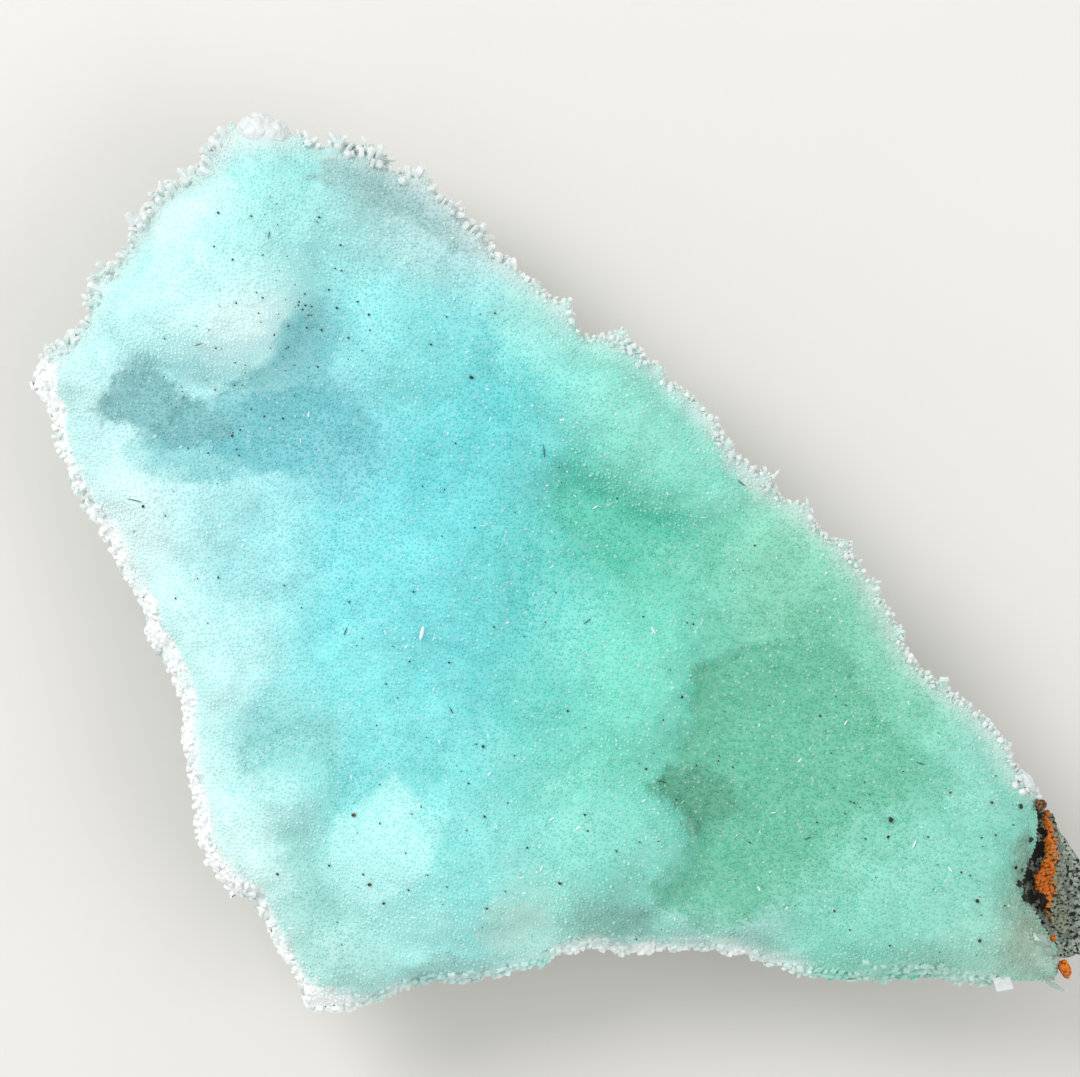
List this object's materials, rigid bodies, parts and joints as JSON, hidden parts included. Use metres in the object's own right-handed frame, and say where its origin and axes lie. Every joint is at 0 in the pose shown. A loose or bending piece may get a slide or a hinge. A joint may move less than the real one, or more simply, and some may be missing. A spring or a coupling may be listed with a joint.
{
  "type": "cuprian aragonite specimen on host rock",
  "caption": "Broken plate of blue-green aragonite crust with rounded billows and a fringe of small crystals, on the rock it grew on; lies on its flat back.",
  "frame": {"origin": "middle of the specimen's outline, on the plane that its flat back rests on", "axes": "+X to the end where the host rock shows, +Y to the crown of the plate, +Z out of the crystal face"},
  "size_m": [0.1304, 0.1089, 0.0303],
  "materials": {
    "aragonite": "frosted, sugary druse of tiny crystals over milky blue-green aragonite",
    "host_rock": "rough, grey-green with black grains",
    "iron_oxide": "earthy, rust orange to black"
  },
  "bodies": {
    "root": {"aragonite_crust": "aragonite", "host_rock": "host_rock", "iron_oxide_seam": "iron_oxide"}
  },
  "joints": []
}
